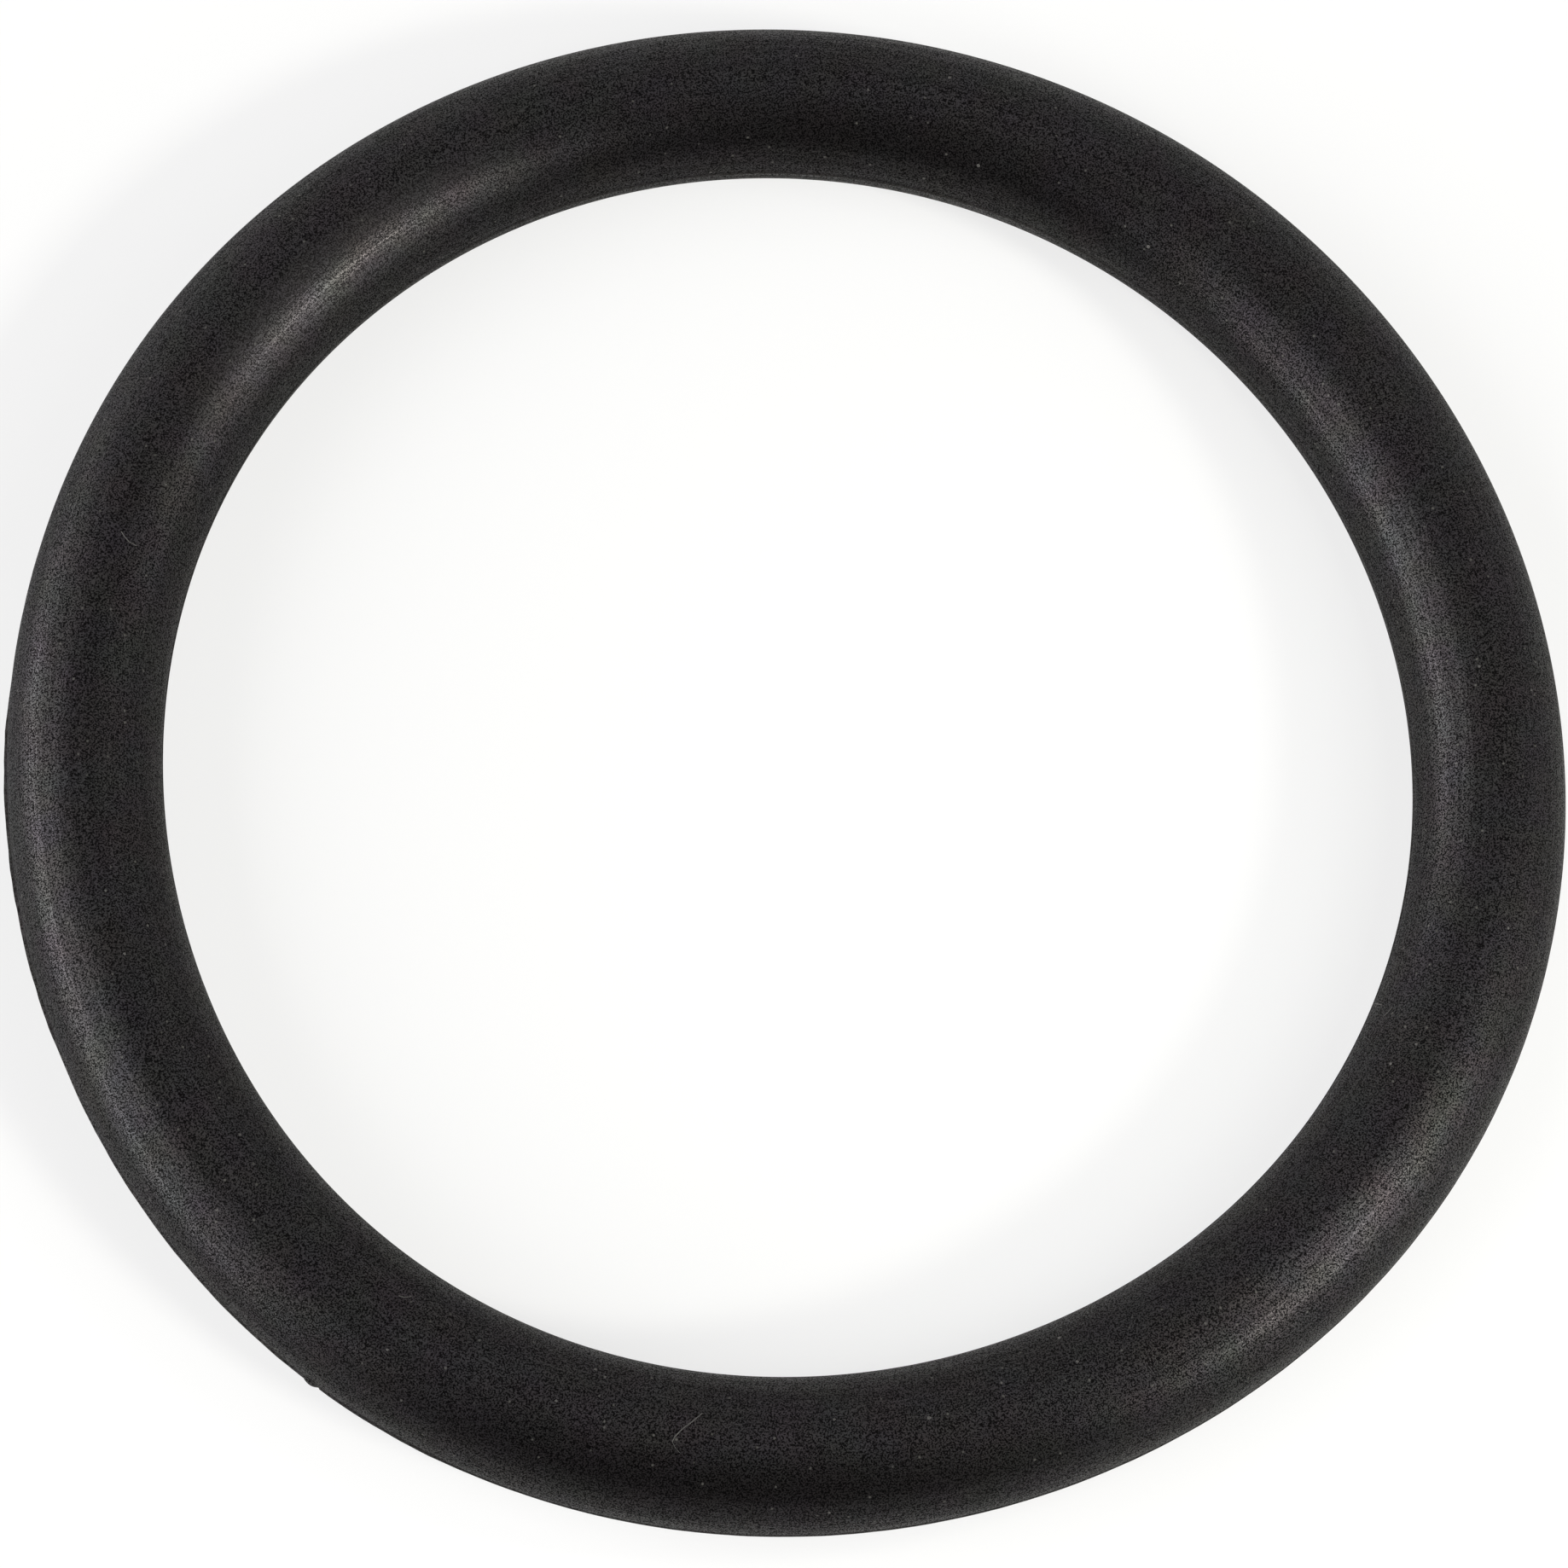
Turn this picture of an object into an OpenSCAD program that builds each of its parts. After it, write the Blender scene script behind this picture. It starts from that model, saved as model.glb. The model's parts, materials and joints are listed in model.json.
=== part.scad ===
// A rubber o-ring, moulded in one piece in a two-part mould.
// It lies flat: +Z is the ring's axis, and the origin is the ring's centre on the plane
// where the two halves of the mould met.

/* [Ring] */
// Inside diameter of the round section
inner_d = 28.7; // [10:0.1:150]
// Diameter of the round section, the cord
cord_d = 3.5; // [1.5:0.05:8]

/* [Parting line] */
// Width of the trimmed flash band that the mould left round the inside and the outside
flash_w = 0.12; // [0.06:0.01:0.3]
// How far the trimmed band stands proud of the round section
flash_h = 0.03; // [0.01:0.01:0.12]

/* [Gate mark] */
// Where the gate fed the mould, as an angle round the ring from +X towards +Y
gate_angle = 234; // [0:1:359]
// Length of the torn gate stub along the outer edge
gate_l = 0.4; // [0.3:0.02:1]
// How far the stub stands proud of the round section
gate_h = 0.1; // [0.06:0.01:0.14]
// Thickness of the gate, across the parting line
gate_t = 0.3; // [0.2:0.02:1]

/* [Hidden] */

// Circle through the middle of the cord
centre_r = (inner_d + cord_d) / 2;
outer_r = inner_d / 2 + cord_d;
// The stub's round end: the radius whose chord is gate_l long and gate_h high
gate_r = (gate_l * gate_l / 4 + gate_h * gate_h) / (2 * gate_h);

ring_facets = 240;
cord_facets = 72;
gate_facets = 48;

// Section through the cord: a circle, with the thin fin of flash that is left where the
// mould's halves closed. The fin is cut off square, so it leaves a narrow cylindrical land.
module cord_section() {
    circle(d = cord_d, $fn = cord_facets);
    square([cord_d + 2 * flash_h, flash_w], center = true);
}

// The stub of rubber at the gate: a disc in the parting plane, sunk in the cord
// until only its rounded end shows.
module gate_stub() {
    rotate(gate_angle)
        translate([outer_r + gate_h - gate_r, 0, 0])
            cylinder(r = gate_r, h = gate_t, center = true, $fn = gate_facets);
}

// The whole ring, one solid
module o_ring() {
    color("#262425") {
        rotate_extrude($fn = ring_facets)
            translate([centre_r, 0])
                cord_section();
        gate_stub();
    }
}

o_ring();
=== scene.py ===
# %% [markdown]
# A rubber o-ring is the plainest of seals: one ring of black nitrile rubber with a round
# section, pressed in a two-part mould. The CAD model says how big it is and where it lies.
# This script dresses it: the fin of flash at the parting line, the torn gate, the grain of
# the mould's steel, dust and lint, and the light that shows them.

# %% Load the frame
import bmesh
import bpy
import json
import math
import random
from mathutils import Matrix, Vector


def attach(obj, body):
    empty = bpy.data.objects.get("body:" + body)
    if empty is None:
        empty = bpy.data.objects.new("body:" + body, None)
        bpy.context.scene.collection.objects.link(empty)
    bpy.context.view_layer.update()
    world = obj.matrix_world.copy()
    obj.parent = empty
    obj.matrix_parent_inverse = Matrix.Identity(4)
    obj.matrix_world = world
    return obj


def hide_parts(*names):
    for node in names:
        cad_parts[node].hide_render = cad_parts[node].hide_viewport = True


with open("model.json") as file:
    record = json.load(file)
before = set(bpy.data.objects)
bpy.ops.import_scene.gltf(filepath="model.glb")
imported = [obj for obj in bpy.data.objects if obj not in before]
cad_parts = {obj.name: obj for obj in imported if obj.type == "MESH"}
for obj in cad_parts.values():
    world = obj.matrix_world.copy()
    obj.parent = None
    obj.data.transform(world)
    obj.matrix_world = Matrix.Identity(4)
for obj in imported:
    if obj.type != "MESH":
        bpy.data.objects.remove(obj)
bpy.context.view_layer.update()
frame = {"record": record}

# %% [markdown]
# Every size comes from the frame or is a real length. The record's mounts say where the ring
# touches its groove: the land inside it and the outer circle of its round section. The cord's
# diameter then gives all the other circles.

# %% Sizes of the ring
mm = 0.001
mounts = {m["name"]: m for m in frame["record"]["mounts"]}
cord_d = 3.5 * mm
cord_r = cord_d / 2
outer_r = mounts["outer_seal"]["dims"]["r_mm"] * mm
flash_w = mounts["inner_land"]["dims"]["length_mm"] * mm
centre_r = outer_r - cord_r
print("the circle through the cord's middle:", round(centre_r / mm, 3), "mm in radius")
print("the flash:", round(flash_w / mm, 3), "mm wide")

# %% [markdown]
# The photo looks down on the ring, tilted a little towards its lower edge. Both outlines of
# the ring, fitted together, give the camera: 16.7 degrees from straight above, and about 126
# mm away with a long lens. The world's Y axis stays upright in the picture. The shift moves
# the picture's frame until the ring's centre is at its pixel.

# %% Camera
photo_px = 1838
camera_tilt = math.radians(16.68)
camera_side = math.radians(256.3)
camera_far = 126.1 * mm
lens_px = 6464
sensor_mm = 36
ring_centre_px = (925.8, 887.8)

back = Vector((
    math.sin(camera_tilt) * math.cos(camera_side),
    math.sin(camera_tilt) * math.sin(camera_side),
    math.cos(camera_tilt),
))
up = Vector((0, 1, 0))
up = (up - back * up.dot(back)).normalized()
right = up.cross(back)
facing_ring = Matrix((right, up, back)).transposed().to_4x4()

camera_data = bpy.data.cameras.new("camera")
camera_data.sensor_width = sensor_mm
camera_data.lens = sensor_mm * lens_px / photo_px
camera_data.shift_x = (photo_px / 2 - ring_centre_px[0]) / photo_px
camera_data.shift_y = (ring_centre_px[1] - photo_px / 2) / photo_px
camera_data.clip_start = 5 * mm
camera_data.clip_end = 20
camera = bpy.data.objects.new("camera", camera_data)
camera.matrix_world = Matrix.Translation(back * camera_far) @ facing_ring
bpy.context.scene.collection.objects.link(camera)
bpy.context.scene.camera = camera
print("lens", round(camera_data.lens, 1), "mm")

# %% [markdown]
# Colours are written as sRGB hex values, the way a colour picker shows them, and one function
# turns them into the linear values that the shaders use. Another adds a node with its
# settings and its links, so that each material below reads as a list of steps.

# %% Colour and node helpers
def linear(hex_colour):
    """An sRGB hex colour as linear red, green, blue and alpha."""
    channels = [int(hex_colour[i:i + 2], 16) / 255 for i in (1, 3, 5)]
    return [c / 12.92 if c <= 0.04045 else ((c + 0.055) / 1.055) ** 2.4 for c in channels] + [1]


def add(tree, kind, settings=None, **inputs):
    """A new node. settings are its own properties. inputs are its sockets, by name or by
    _number, each with a value or with the socket that is linked to it."""
    node = tree.nodes.new(kind)
    for name, value in (settings or {}).items():
        setattr(node, name, value)
    for name, value in inputs.items():
        socket = node.inputs[int(name[1:]) if name[1:].isdigit() else name.replace("_", " ")]
        if isinstance(value, bpy.types.NodeSocket):
            tree.links.new(value, socket)
        else:
            socket.default_value = value
    return node


def new_material(name):
    """A material with an empty node tree, and its output node."""
    material = bpy.data.materials.new(name)
    material.use_nodes = True
    material.node_tree.nodes.clear()
    return material, material.node_tree, material.node_tree.nodes.new("ShaderNodeOutputMaterial")


# %% [markdown]
# The ring lies on a sheet of white card, as a small part does for a catalogue picture. A grid of
# one face, far wider than the view, is enough.

# %% Floor
floor_size = 3.0
floor_bm = bmesh.new()
bmesh.ops.create_grid(floor_bm, x_segments=1, y_segments=1, size=floor_size / 2)
bmesh.ops.translate(floor_bm, verts=floor_bm.verts, vec=(0, 0, -cord_r))
floor_mesh = bpy.data.meshes.new("card")
floor_bm.to_mesh(floor_mesh)
floor_bm.free()
floor = bpy.data.objects.new("card", floor_mesh)
bpy.context.scene.collection.objects.link(floor)
print("the card:", floor_size, "m wide,", round(cord_r / mm, 3), "mm below the ring's middle")

# %% [markdown]
# Card is matte, so it is a Diffuse shader. It is lit like everything else, so it keeps the
# ring's soft shadow, also in the gloss of the rubber. The camera sees the card near the ring
# lifted a little past white, so that only the shadow stays darker, and away from the ring it
# is quite white. The white is a picture's, not a lamp's, so it isn't sampled as one.

# %% Floor: white card
lit_within = 30 * mm
white_beyond = 120 * mm
lift_share = 0.6
lift_level = 1.15

card, tree, out = new_material("white_card")
place = add(tree, "ShaderNodeTexCoord").outputs["Object"]
away = add(tree, "ShaderNodeVectorMath", {"operation": "LENGTH"}, _0=place).outputs["Value"]
far = add(tree, "ShaderNodeMapRange", {"interpolation_type": "SMOOTHSTEP"}, Value=away,
          From_Min=lit_within, From_Max=white_beyond, To_Min=0, To_Max=1).outputs[0]
path = add(tree, "ShaderNodeLightPath").outputs
paper = add(tree, "ShaderNodeBsdfDiffuse", Color=linear("#e2e2e2"))
lift = add(tree, "ShaderNodeEmission", Color=linear("#ffffff"), Strength=lift_level)
lifted = add(tree, "ShaderNodeMath", {"operation": "MULTIPLY"},
             _0=path["Is Camera Ray"], _1=lift_share)
near_card = add(tree, "ShaderNodeMixShader",
                _0=lifted.outputs[0], _1=paper.outputs[0], _2=lift.outputs[0])
looks = add(tree, "ShaderNodeMath", {"operation": "MAXIMUM"},
            _0=path["Is Camera Ray"], _1=path["Is Glossy Ray"])
sees = add(tree, "ShaderNodeMath", {"operation": "MAXIMUM"},
           _0=looks.outputs[0], _1=path["Is Transmission Ray"])
faded = add(tree, "ShaderNodeMath", {"operation": "MULTIPLY"}, _0=sees.outputs[0], _1=far)
white = add(tree, "ShaderNodeEmission", Color=linear("#ffffff"), Strength=1)
whole = add(tree, "ShaderNodeMixShader",
            _0=faded.outputs[0], _1=near_card.outputs[0], _2=white.outputs[0])
tree.links.new(whole.outputs[0], out.inputs["Surface"])
card.cycles.emission_sampling = "NONE"
floor_mesh.materials.append(card)
print("the card is white beyond", round(white_beyond / mm), "mm")

# %% [markdown]
# The highlights on the ring tell where its light came from: a short strip close to it at the
# right, a small key lamp far behind the strip with wide dim cloths round it, and broad windows
# at the left, one low and one high. Each is an area lamp that faces the ring, and its strength
# is the brightness of its cloth, where 1 is white paper.

# %% Light
def softbox(name, azimuth, elevation, width, height, strength, colour="#ffffff", away=1.4):
    """An area lamp that faces the ring from azimuth, counted from +X towards +Y, and from
    elevation. width and height are the degrees of sky that it fills, away is in metres."""
    data = bpy.data.lights.new(name, "AREA")
    data.shape = "RECTANGLE"
    data.size = 2 * away * math.tan(math.radians(width / 2))
    data.size_y = 2 * away * math.tan(math.radians(height / 2))
    data.color = linear(colour)[:3]
    data.energy = strength * math.pi * data.size * data.size_y
    lamp = bpy.data.objects.new(name, data)
    a = math.radians(azimuth)
    e = math.radians(elevation)
    towards = Vector((math.cos(a) * math.cos(e), math.sin(a) * math.cos(e), math.sin(e)))
    lamp.rotation_mode = "QUATERNION"
    lamp.location = towards * away
    lamp.rotation_quaternion = towards.to_track_quat("Z", "Y")
    lamp.visible_camera = False
    bpy.context.scene.collection.objects.link(lamp)
    print(name, round(data.size / mm), "x", round(data.size_y / mm), "mm")


warm = "#fefdf3"
softbox("near_strip", azimuth=334, elevation=41, width=6, height=36, strength=12,
        colour=warm, away=0.038)
softbox("key_lamp", azimuth=331, elevation=36, width=10, height=8, strength=63, colour=warm)
softbox("side_cloth", azimuth=341, elevation=42, width=23, height=42, strength=1.7)
softbox("low_cloth", azimuth=330, elevation=12, width=38, height=23, strength=3.2)
softbox("low_window", azimuth=183, elevation=5, width=69, height=12, strength=10.6)
softbox("high_window", azimuth=189, elevation=31, width=58, height=50, strength=3.2, away=0.5)

# %% [markdown]
# White walls stand all round, and light the scene dimly. The camera sees them white. The
# rubber's gloss sees them white too, except in front, where the photographer stands in dark
# clothes.

# %% Walls
dark_below = -0.41
white_above = -0.02
wall_level = 0.2

world = bpy.data.worlds.new("studio")
bpy.context.scene.world = world
world.use_nodes = True
tree = world.node_tree
tree.nodes.clear()
direction = add(tree, "ShaderNodeTexCoord").outputs["Generated"]
depth = add(tree, "ShaderNodeSeparateXYZ", Vector=direction).outputs["Y"]
wall = add(tree, "ShaderNodeMapRange", {"interpolation_type": "SMOOTHSTEP"}, Value=depth,
           From_Min=dark_below, From_Max=white_above, To_Min=0, To_Max=1).outputs[0]
path = add(tree, "ShaderNodeLightPath").outputs
gloss_sees = add(tree, "ShaderNodeMath", {"operation": "MULTIPLY"},
                 _0=path["Is Glossy Ray"], _1=wall)
looks = add(tree, "ShaderNodeMath", {"operation": "MAXIMUM"},
            _0=path["Is Camera Ray"], _1=gloss_sees.outputs[0])
sees = add(tree, "ShaderNodeMath", {"operation": "MAXIMUM"},
           _0=looks.outputs[0], _1=path["Is Transmission Ray"])
dim = add(tree, "ShaderNodeMath", {"operation": "MULTIPLY"}, _0=wall, _1=wall_level)
dim_wall = add(tree, "ShaderNodeBackground", Color=linear("#ffffff"), Strength=dim.outputs[0])
white_wall = add(tree, "ShaderNodeBackground", Color=linear("#ffffff"), Strength=1)
walls = add(tree, "ShaderNodeMixShader",
            _0=sees.outputs[0], _1=dim_wall.outputs[0], _2=white_wall.outputs[0])
add(tree, "ShaderNodeOutputWorld", Surface=walls.outputs[0])
world.cycles.sampling_method = "NONE"
print("the walls light the ring at", wall_level, "of white")

# %% [markdown]
# A moulded ring is a turned shape, so it is made like one: a circle, the cord's section, is
# spun round the axis. The circle's sides are made as wide as the fin of flash, and it is
# turned by half a side, so one strip of faces inside and one outside is the flash's root.

# %% Spin the cord
ring_steps = 480
section_sides = 2 * round(math.pi * cord_d / flash_w / 2)
half_side = math.pi / section_sides
stand_up = Matrix.Rotation(math.pi / 2, 4, "X") @ Matrix.Rotation(half_side, 4, "Z")

ring_bm = bmesh.new()
bmesh.ops.create_circle(ring_bm, segments=section_sides, radius=cord_r / math.cos(half_side),
                        matrix=Matrix.Translation((centre_r, 0, 0)) @ stand_up)
bmesh.ops.spin(ring_bm, geom=ring_bm.verts[:] + ring_bm.edges[:], cent=(0, 0, 0),
               axis=(0, 0, 1), angle=2 * math.pi, steps=ring_steps, use_merge=True)
print("section sides", section_sides, "faces", len(ring_bm.faces))

# %% [markdown]
# At the gate the rubber was torn off and left a low stub about 0.4 mm long. The ring's faces
# are too coarse for it, so the patch round the gate is subdivided first. That leaves faces
# with many sides round the patch, and they are cut into triangles, so that none folds.

# %% Refine the patch at the gate
def outwards_at(angle):
    """The direction straight away from the ring's axis at an angle."""
    return Vector((math.cos(angle), math.sin(angle), 0))


gate_angle = math.radians(234)
gate_l = 0.4 * mm
gate_out = outwards_at(gate_angle)
patch_r = 0.9 * gate_l
patch_cuts = 5
patch_edges = {
    edge for face in ring_bm.faces for edge in face.edges
    if (face.calc_center_median() - gate_out * outer_r).length < patch_r
}
bmesh.ops.subdivide_edges(ring_bm, edges=list(patch_edges), cuts=patch_cuts, use_grid_fill=True)
many_sided = [face for face in ring_bm.faces if len(face.verts) > 4]
bmesh.ops.triangulate(ring_bm, faces=many_sided, ngon_method="BEAUTY")
print("patch edges", len(patch_edges), "faces now", len(ring_bm.faces))

# %% [markdown]
# Flash is the thin fin of rubber that creeps between the two halves of the mould. It is
# trimmed off afterwards, well in most places and less well at the left, where it still stands
# 0.07 mm high, and below that, where it is half as high. First its ragged height is written
# as a function of the angle round the ring.

# %% How high the flash stands
fin_inside = 0.012 * mm
fin_outside = 0.014 * mm
fin_more_left = 0.052 * mm
fin_more_below = 0.02 * mm
fin_raggedness = 0.18


def stretch(angle, first, last, fade):
    """1 between two angles round the ring, in degrees, and 0 away from them, with soft ends."""
    degrees = math.degrees(angle) % 360
    rise = min(max((degrees - first) / fade + 0.5, 0), 1)
    fall = min(max((last - degrees) / fade + 0.5, 0), 1)
    return rise * rise * (3 - 2 * rise) * fall * fall * (3 - 2 * fall)


def fin_height(angle, outside):
    """How far the fin stands out of the cord at an angle. The torn gate takes its place."""
    if not outside:
        return fin_inside
    if abs(angle - gate_angle) * outer_r < 0.5 * gate_l:
        return 0
    ragged = 0.5 * math.sin(61 * angle) + 0.3 * math.sin(139 * angle + 1)
    ragged += 0.2 * math.sin(307 * angle + 2)
    height = fin_outside + fin_more_left * stretch(angle, 178, 202, fade=6)
    height += fin_more_below * stretch(angle, 202, 246, fade=10)
    return height * (1 + fin_raggedness * ragged)


for degrees in (90, 190, 220):
    measured = fin_height(math.radians(degrees), outside=True)
    print("the fin at", degrees, "degrees:", round(measured / mm, 3), "mm")

# %% [markdown]
# An inset then gives both strips of faces at the parting line their rim, and each point of
# the strips is drawn out as far as the fin stands there. That leaves a thin wall with a flat
# top, as a trimming knife does.

# %% Raise the flash
half_flash = 0.51 * flash_w
fin_foot = 0.15 * flash_w
strips = [face for face in ring_bm.faces if all(abs(v.co.z) < half_flash for v in face.verts)]
bmesh.ops.inset_region(ring_bm, faces=strips, thickness=fin_foot, depth=0,
                       use_boundary=True, use_even_offset=True)
for v in {v for face in strips for v in face.verts}:
    angle = math.atan2(v.co.y, v.co.x) % (2 * math.pi)
    outside = math.hypot(v.co.x, v.co.y) > centre_r
    side = 1 if outside else -1
    v.co += outwards_at(angle) * fin_height(angle, outside) * side
print("strip faces", len(strips))

# %% [markdown]
# The stub is drawn straight out of the fine patch: highest in its middle, blunt, and a little
# longer on the side that tore last. Points above and below the parting line start further in,
# because the cord is round, and end at the stub's own height.

# %% Swell the gate stub
gate_h = 0.08 * mm
gate_half_t = 0.55 * gate_l
gate_bluntness = 0.8
gate_along = Vector((-math.sin(gate_angle), math.cos(gate_angle), 0))
for v in ring_bm.verts:
    along = v.co.dot(gate_along)
    half_l = gate_l * (0.5 if along > 0 else 0.65)
    off = math.hypot(along / half_l, v.co.z / gate_half_t)
    if v.co.dot(gate_out) > centre_r and off < 1:
        proud = gate_h * math.cos(off * math.pi / 2) ** gate_bluntness
        rounded = v.co.z ** 2 / cord_d
        v.co += gate_out * max(0, outer_r + proud - math.hypot(v.co.x, v.co.y) - rounded)
gate_tip = max(v.co.dot(gate_out) for v in ring_bm.verts)
print("the gate stub stands", round((gate_tip - outer_r) / mm, 3), "mm proud")

# %% [markdown]
# Rubber is soft, so the ring doesn't lie as a true circle: it has three faint lobes, less than
# a tenth of a millimetre high, and four fainter ones on top of them. Each point keeps its
# moulded place as an attribute before the ring is bent, so that the marks of the mould can
# follow the cord.

# %% Bend the ring
three_lobes_h = 0.07 * mm
three_lobes_angle = math.radians(-5.7)
four_lobes_h = 0.036 * mm
four_lobes_angle = math.radians(-29.7)


def bend(angle):
    """How far the ring lies outside its true circle at an angle."""
    three = three_lobes_h * math.cos(3 * (angle - three_lobes_angle))
    four = four_lobes_h * math.cos(4 * (angle - four_lobes_angle))
    return three + four


moulded = ring_bm.verts.layers.float_vector.new("as_moulded")
for v in ring_bm.verts:
    v[moulded] = v.co
    angle = math.atan2(v.co.y, v.co.x)
    v.co += outwards_at(angle) * bend(angle)
most_bent = max(bend(math.radians(degrees)) for degrees in range(360))
print("the ring is bent by up to", round(most_bent / mm, 3), "mm")

# %% [markdown]
# The shape is done. Its faces are shaded smooth, but for the fin's sharp edges. The piece stands
# for the plain solid of the CAD model, which is hidden, and rides on its body.

# %% Finish the ring
sharp_angle = math.radians(35)
for face in ring_bm.faces:
    face.smooth = True
bmesh.ops.recalc_face_normals(ring_bm, faces=ring_bm.faces)
ring_mesh = bpy.data.meshes.new("moulded_ring")
ring_bm.to_mesh(ring_mesh)
ring_bm.free()
ring_mesh.set_sharp_from_angle(angle=sharp_angle)
ring = bpy.data.objects.new("moulded_ring", ring_mesh)
bpy.context.scene.collection.objects.link(ring)
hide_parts("o_ring")
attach(ring, "root")
print("ring triangles", sum(len(p.vertices) - 2 for p in ring_mesh.polygons))

# %% [markdown]
# The rubber is nitrile filled with carbon black, moulded against steel that was blasted
# matte. Its pigment is nearly black, so what the eye sees is gloss: broad, soft highlights,
# broken up by the grain. Every mark of the mould is placed by where a point lay in the mould:
# turn is its direction from the ring's axis, and section is its angle round the cord.

# %% Rubber: where each mark lies
rubber, tree, out = new_material("nitrile_rubber")
at = add(tree, "ShaderNodeAttribute", {"attribute_name": "as_moulded"}).outputs["Vector"]
flat = add(tree, "ShaderNodeVectorMath", {"operation": "MULTIPLY"}, _0=at, _1=(1, 1, 0)).outputs[0]
reach = add(tree, "ShaderNodeVectorMath", {"operation": "LENGTH"}, _0=flat).outputs["Value"]
turn = add(tree, "ShaderNodeVectorMath", {"operation": "NORMALIZE"}, _0=flat).outputs[0]
height = add(tree, "ShaderNodeSeparateXYZ", Vector=at).outputs["Z"]
beyond = add(tree, "ShaderNodeMath", {"operation": "SUBTRACT"}, _0=reach, _1=centre_r).outputs[0]
section = add(tree, "ShaderNodeMath", {"operation": "ARCTAN2"}, _0=height, _1=beyond).outputs[0]
around = add(tree, "ShaderNodeMath", {"operation": "MULTIPLY"}, _0=section, _1=cord_r).outputs[0]
around_axis = add(tree, "ShaderNodeCombineXYZ", Z=around).outputs[0]

# %% [markdown]
# The mould's steel was turned before it was blasted, which leaves faint rings round it, and so
# streaks that run along the cord: a noise drawn out along the ring. The grain is a fine noise,
# the unevenness of the rubber a broad one. Each bump is laid on the one before, from broad to
# fine. Real grain is finer than a pixel here, so it is drawn as fine as the picture can show.

# %% Rubber: streaks, grain and unevenness
streak_l = 3.5 * mm
streak_w = 0.055 * mm
grain_w = 0.036 * mm
wave_w = 3.5 * mm
wave_h = 0.03 * mm
streak_h = 0.005 * mm
grain_h = 0.0025 * mm

along = add(tree, "ShaderNodeVectorMath", {"operation": "SCALE"},
            _0=turn, Scale=centre_r * streak_w / streak_l)
streak_at = add(tree, "ShaderNodeVectorMath", {"operation": "ADD"},
                _0=along.outputs[0], _1=around_axis)
streaks = add(tree, "ShaderNodeTexNoise", Vector=streak_at.outputs[0], Scale=1 / streak_w,
              Detail=2.0, Roughness=0.6).outputs["Fac"]
grain = add(tree, "ShaderNodeTexNoise", Vector=at, Scale=1 / grain_w,
            Detail=1.0, Roughness=0.6).outputs["Fac"]
waves = add(tree, "ShaderNodeTexNoise", Vector=at, Scale=1 / wave_w,
            Detail=1.0, Roughness=0.5).outputs["Fac"]
wave_bump = add(tree, "ShaderNodeBump", Height=waves, Strength=1.0, Distance=wave_h).outputs[0]
streak_bump = add(tree, "ShaderNodeBump", Height=streaks, Strength=1.0, Distance=streak_h,
                  Normal=wave_bump).outputs[0]
grain_bump = add(tree, "ShaderNodeBump", Height=grain, Strength=1.0, Distance=grain_h,
                 Normal=streak_bump).outputs[0]
print("streaks", round(streak_w / mm, 3), "mm wide, grain", round(grain_w / mm, 3), "mm")

# %% [markdown]
# Under a lens each grain is a pit that shades itself, so the gloss comes and goes from grain
# to grain. That is drawn as a speckle in the level of the gloss and in the pigment. A bloom of
# wax from inside the rubber gives the gloss faint blotches of hue.

# %% Rubber: colour and gloss
gloss_level = 0.395
bloom_w = 1.1 * mm

pits = add(tree, "ShaderNodeMapRange", Value=grain, From_Min=0.425, From_Max=0.575,
           To_Min=0.1, To_Max=1).outputs[0]
lines = add(tree, "ShaderNodeMapRange", Value=streaks, From_Min=0.35, From_Max=0.65,
            To_Min=0.7, To_Max=1).outputs[0]
speckle = add(tree, "ShaderNodeMath", {"operation": "MULTIPLY"}, _0=pits, _1=lines).outputs[0]
gloss = add(tree, "ShaderNodeMath", {"operation": "MULTIPLY"},
            _0=speckle, _1=gloss_level).outputs[0]
bloom = add(tree, "ShaderNodeTexNoise", Vector=at, Scale=1 / bloom_w, Detail=1.0)
hue = add(tree, "ShaderNodeMapRange", {"data_type": "FLOAT_VECTOR"},
          _6=bloom.outputs["Color"], _7=(0.35, 0.35, 0.35), _8=(0.65, 0.65, 0.65),
          _9=linear("#f5eff2")[:3], _10=linear("#fffbfd")[:3]).outputs[1]
pigment = add(tree, "ShaderNodeMix", {"data_type": "RGBA"},
              _0=speckle, _6=linear("#020202"), _7=linear("#191718")).outputs[2]

# %% [markdown]
# How matte the rubber is changes too. The ridges of the streaks are polished and the grooves
# between them aren't. The rims are seen across the grain, where the pits hide each other, so
# they are more matte than the middle.

# %% Rubber: how matte it is
streaked = add(tree, "ShaderNodeMapRange", Value=streaks, From_Min=0.3, From_Max=0.7,
               To_Min=0.44, To_Max=0.3).outputs[0]
facing = add(tree, "ShaderNodeLayerWeight", Blend=0.5).outputs["Facing"]
rim = add(tree, "ShaderNodeMapRange", Value=facing, From_Min=0.1, From_Max=0.42,
          To_Min=0, To_Max=1).outputs[0]
hidden = add(tree, "ShaderNodeMapRange", Value=pits, From_Min=0.1, From_Max=1,
             To_Min=0.28, To_Max=0.04).outputs[0]
matte = add(tree, "ShaderNodeMath", {"operation": "MULTIPLY_ADD"},
            _0=rim, _1=hidden, _2=streaked).outputs[0]

# %% [markdown]
# The trimmed flash is a cut face. It hasn't the grain of the mould, so it is a little paler and
# more matte, and shows from the side as the thin line that runs round every moulded ring.

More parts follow.
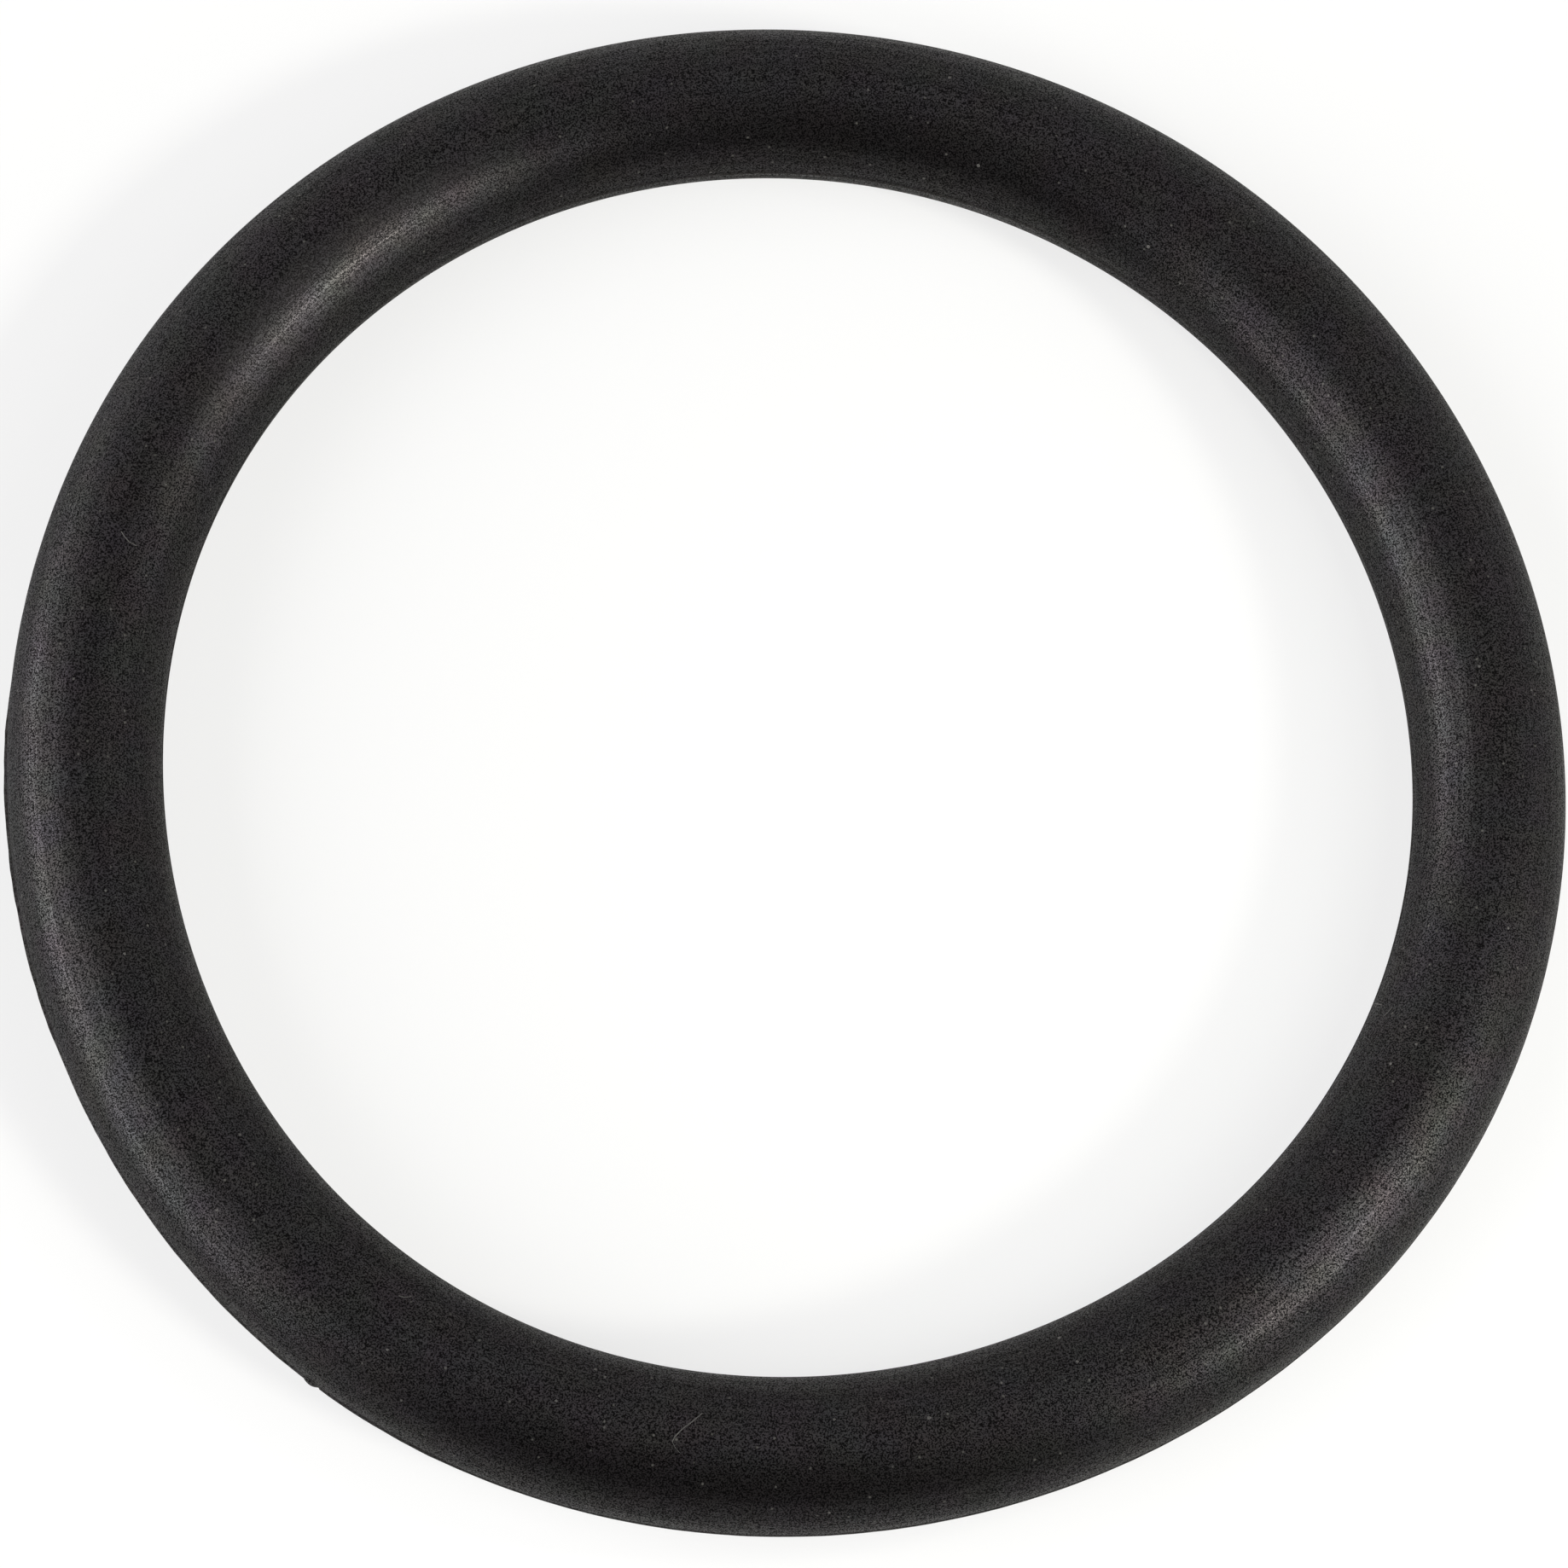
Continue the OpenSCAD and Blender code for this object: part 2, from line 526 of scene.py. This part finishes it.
# %% Rubber: the trimmed flash
cut_more_matte = 0.15
level = add(tree, "ShaderNodeMath", {"operation": "ABSOLUTE"}, _0=height).outputs[0]
land = add(tree, "ShaderNodeMapRange", Value=level, From_Min=0.6 * flash_w,
           From_Max=0.4 * flash_w, To_Min=0, To_Max=1).outputs[0]
cut = add(tree, "ShaderNodeMix", {"data_type": "RGBA"},
          _0=land, _6=pigment, _7=linear("#1f1e1d")).outputs[2]
worn = add(tree, "ShaderNodeMath", {"operation": "MULTIPLY_ADD"},
           _0=land, _1=cut_more_matte, _2=matte).outputs[0]

# %% [markdown]
# At the upper left the inner side of the cord looks paler than the rest, and its highlight is
# broader. That is drawn as a painted highlight: the colour there is made a little paler than the
# rubber, in an oval that is placed along the ring and round the cord's section.

# %% Rubber: a painted highlight at the upper left
painted_highlight_angle = math.radians(134)
painted_highlight_side = math.radians(121)
painted_highlight_l = 8.4 * mm
painted_highlight_w = 1.1 * mm
painted_highlight_most = 0.55

painted_highlight_turn = add(tree, "ShaderNodeVectorMath", {"operation": "SUBTRACT"},
                _0=turn, _1=outwards_at(painted_highlight_angle)).outputs[0]
painted_highlight_along = add(tree, "ShaderNodeVectorMath", {"operation": "SCALE"},
                 _0=painted_highlight_turn, Scale=centre_r / painted_highlight_l).outputs[0]
painted_highlight_around = add(tree, "ShaderNodeMath", {"operation": "MULTIPLY_ADD"}, _0=section,
                  _1=cord_r / painted_highlight_w, _2=-painted_highlight_side * cord_r / painted_highlight_w).outputs[0]
painted_highlight_axis = add(tree, "ShaderNodeCombineXYZ", Z=painted_highlight_around).outputs[0]
painted_highlight_at = add(tree, "ShaderNodeVectorMath", {"operation": "ADD"},
              _0=painted_highlight_along, _1=painted_highlight_axis).outputs[0]
painted_highlight_off = add(tree, "ShaderNodeVectorMath", {"operation": "LENGTH"}, _0=painted_highlight_at).outputs["Value"]
painted_highlight = add(tree, "ShaderNodeMapRange", {"interpolation_type": "SMOOTHSTEP"}, Value=painted_highlight_off,
           From_Min=1, From_Max=0.2, To_Min=0, To_Max=painted_highlight_most).outputs[0]
# Painted highlight: inside the oval the rubber's colour is mixed towards a paler grey.
with_painted_highlight = add(tree, "ShaderNodeMix", {"data_type": "RGBA"},
           _0=painted_highlight, _6=cut, _7=linear("#2c2a2a")).outputs[2]
print("the haze is", round(2 * painted_highlight_l / mm, 1), "x", round(2 * painted_highlight_w / mm, 1), "mm")

# %% [markdown]
# Dust settles on rubber at once, because it is slightly tacky. Most of it is finer than a
# tenth of a millimetre, so it is drawn in the material: small balls, one in each cell of a
# Voronoi pattern, are cut by the surface into pale dots of every size.

# %% Rubber: fine dust
dust_gap = 0.4 * mm
dust_r = 0.04 * mm
dust_cover = 0.8
balls = add(tree, "ShaderNodeTexVoronoi", Vector=at, Scale=1 / dust_gap).outputs["Distance"]
dusty = add(tree, "ShaderNodeMapRange", Value=balls, From_Min=dust_r / dust_gap,
            From_Max=0.4 * dust_r / dust_gap, To_Min=0, To_Max=dust_cover).outputs[0]
colour = add(tree, "ShaderNodeMix", {"data_type": "RGBA"},
             _0=dusty, _6=with_painted_highlight, _7=linear("#4e4d4a")).outputs[2]

# %% [markdown]
# One Principled shader takes it all. Its IOR of 1.5 is that of rubber, and the level of the
# gloss scales its reflection down to what grainy rubber gives.

# %% Rubber: the shader
rubber_ior = 1.5
skin = add(tree, "ShaderNodeBsdfPrincipled", Base_Color=colour, Roughness=worn, IOR=rubber_ior,
           Specular_IOR_Level=gloss, Specular_Tint=hue, Normal=grain_bump)
tree.links.new(skin.outputs[0], out.inputs["Surface"])
ring_mesh.materials.append(rubber)
print("nodes in the rubber", len(tree.nodes))

# %% [markdown]
# The larger specks and the hairs are real pieces. Each is placed by its pixel in the photo: a
# ray from the camera through that pixel walks to the cord, so the speck lies on the rubber
# from every side. Each step is as long as the ray is away from the cord, so it can't pass it.

# %% Find a pixel's place on the ring
walk_steps = 200


def on_ring(px, py):
    """The point of the cord that the photo shows at a pixel, and the direction outwards there."""
    sideways = right * (px - ring_centre_px[0]) - up * (py - ring_centre_px[1])
    ray = (sideways / lens_px - back).normalized()
    point = back * camera_far
    for _ in range(walk_steps):
        angle = math.atan2(point.y, point.x)
        line = outwards_at(angle) * (centre_r + bend(angle))
        point = point + ray * ((point - line).length - cord_r)
    return point, (point - line).normalized()


# %% [markdown]
# A speck is a crumb of dust: a ball of a few faces, squashed flat and made uneven with seeded
# dice. It is turned to lie on the rubber, half sunk in it, so that none floats. The third
# number of each is its width in the photo, in pixels.

# %% Dust specks
specks_px = [
    (1113, 91, 5), (1333, 158, 4), (833, 202, 5), (1147, 194, 5), (1083, 209, 4),
    (1346, 289, 5), (1528, 459, 5), (1569, 474, 5), (1734, 781, 4), (1795, 809, 4),
    (1709, 873, 4), (1713, 985, 4), (1675, 1085, 4), (1768, 1088, 4), (1660, 1224, 4),
    (1630, 1247, 4), (1242, 1568, 5), (1263, 1596, 4), (1174, 1621, 4), (1089, 1662, 6),
    (978, 1664, 4), (972, 1773, 4), (698, 1605, 5), (709, 1614, 4), (652, 1642, 4),
    (597, 1742, 4), (454, 1582, 4), (281, 1330, 4), (173, 1085, 4), (146, 1118, 4),
    (124, 1044, 4), (146, 833, 4), (130, 714, 4), (55, 689, 4),
]
px_size = camera_far / lens_px
flatness = 0.5
dice = random.Random(7)
dust_bm = bmesh.new()
for px, py, size in specks_px:
    point, outwards = on_ring(px, py)
    radius = size / 2 * px_size
    made = bmesh.ops.create_icosphere(dust_bm, subdivisions=1, radius=radius)["verts"]
    for v in made:
        v.co *= dice.uniform(0.75, 1.15)
        v.co.z *= flatness
    lying = outwards.to_track_quat("Z", "Y").to_matrix().to_4x4()
    turned = lying @ Matrix.Rotation(dice.uniform(0, 6.28), 4, "Z")
    bmesh.ops.transform(dust_bm, matrix=Matrix.Translation(point) @ turned, verts=made)
bmesh.ops.recalc_face_normals(dust_bm, faces=dust_bm.faces)
dust_mesh = bpy.data.meshes.new("dust_specks")
dust_bm.to_mesh(dust_mesh)
dust_bm.free()
dust = bpy.data.objects.new("dust_specks", dust_mesh)
bpy.context.scene.collection.objects.link(dust)
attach(dust, "root")
print("specks", len(specks_px), "triangles", len(dust_mesh.polygons))

# %% [markdown]
# A hair is a thin tube with six sides. It starts as a circle with a cap, and the cap is pushed
# on from pixel to pixel along the hair. Each push leaves the old cap inside the tube, so it is
# deleted, but not the first, which closes the tube's end.

# %% Lint
hairs_px = [
    [(823, 1657), (812, 1666), (800, 1675), (791, 1684), (788, 1690), (792, 1698), (797, 1703)],
    [(142, 623), (146, 629), (151, 635), (160, 640)],
    [(467, 1519), (474, 1521), (482, 1520)],
    [(1612, 1177), (1616, 1177), (1620, 1178)],
    [(1632, 1181), (1628, 1186), (1623, 1191)],
]
hair_r = 0.013 * mm
hair_lift = 0.6 * hair_r
hair_sides = 6
lint_bm = bmesh.new()
for hair_px in hairs_px:
    places = [on_ring(px, py) for px, py in hair_px]
    spots = [point + outwards * hair_lift for point, outwards in places]
    steps = list(zip(spots, spots[1:]))
    towards = (spots[1] - spots[0]).to_track_quat("Z", "Y").to_matrix().to_4x4()
    start = bmesh.ops.create_circle(lint_bm, cap_ends=True, segments=hair_sides, radius=hair_r,
                                    matrix=Matrix.Translation(spots[0]) @ towards)["verts"]
    cap = start[0].link_faces[0]
    for number, (before, after) in enumerate(steps):
        made = bmesh.ops.extrude_face_region(lint_bm, geom=[cap])["geom"]
        moved = [g for g in made if isinstance(g, bmesh.types.BMVert)]
        bmesh.ops.translate(lint_bm, verts=moved, vec=after - before)
        if number > 0:
            bmesh.ops.delete(lint_bm, geom=[cap], context="FACES_ONLY")
        cap = [g for g in made if isinstance(g, bmesh.types.BMFace)][0]
    length = sum((after - before).length for before, after in steps)
    print("a hair", round(length / mm, 2), "mm long")
bmesh.ops.recalc_face_normals(lint_bm, faces=lint_bm.faces)
lint_mesh = bpy.data.meshes.new("lint")
lint_bm.to_mesh(lint_mesh)
lint_bm.free()
lint = bpy.data.objects.new("lint", lint_mesh)
bpy.context.scene.collection.objects.link(lint)
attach(lint, "root")

# %% [markdown]
# Dust and lint are mostly fibres of cotton and paper, matte and grey, and each is a slightly
# different grey. They scatter light inside themselves, so they hardly shine.

# %% Lint and dust: the shader
shade_w = 0.3 * mm
fibre_matte = 0.9
fluff, tree, out = new_material("lint_and_dust")
place = add(tree, "ShaderNodeTexCoord").outputs["Object"]
shade = add(tree, "ShaderNodeTexNoise", Vector=place, Scale=1 / shade_w, Detail=1.0)
grey = add(tree, "ShaderNodeMix", {"data_type": "RGBA"},
           _0=shade.outputs["Fac"], _6=linear("#333231"), _7=linear("#555351"))
fibre = add(tree, "ShaderNodeBsdfPrincipled", Base_Color=grey.outputs[2], Roughness=fibre_matte)
tree.links.new(fibre.outputs[0], out.inputs["Surface"])
dust_mesh.materials.append(fluff)
lint_mesh.materials.append(fluff)

# %% [markdown]
# The Standard view shows each colour as it is written.

# %% Finish
bpy.context.scene.view_settings.view_transform = "Standard"
